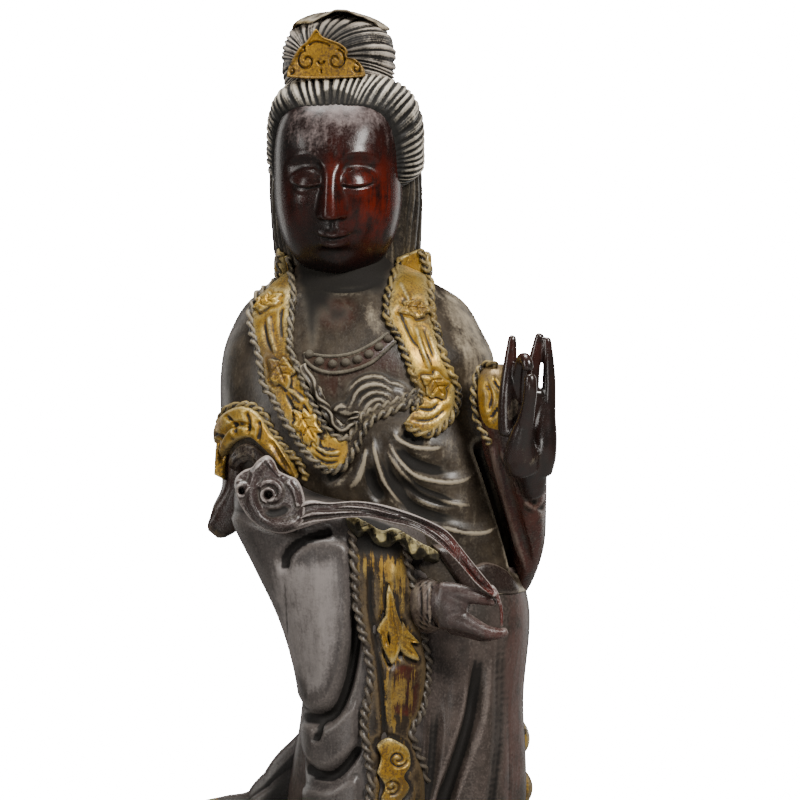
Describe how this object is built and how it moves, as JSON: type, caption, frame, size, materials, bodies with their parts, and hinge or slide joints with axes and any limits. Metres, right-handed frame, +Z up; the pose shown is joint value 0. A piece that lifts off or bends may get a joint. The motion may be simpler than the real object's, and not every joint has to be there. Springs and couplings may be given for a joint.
{
  "type": "guanyin figure",
  "caption": "Standing robed Guanyin carved in lacquered and gilt wood, one hand raised, with a ruyi sceptre, on a low lotus plinth.",
  "frame": {"origin": "centre of the plinth's underside", "axes": "+Z up, the figure faces -Y, +X to the figure's own left"},
  "size_m": [0.164, 0.136, 0.494],
  "materials": {
    "lacquered_wood": "dark red-brown lacquer, worn, with gilt trims",
    "plinth_wood": "dark lacquer, worn at the edges"
  },
  "bodies": {
    "root": {"guanyin_figure": "lacquered_wood", "lotus_plinth": "plinth_wood"}
  },
  "joints": []
}
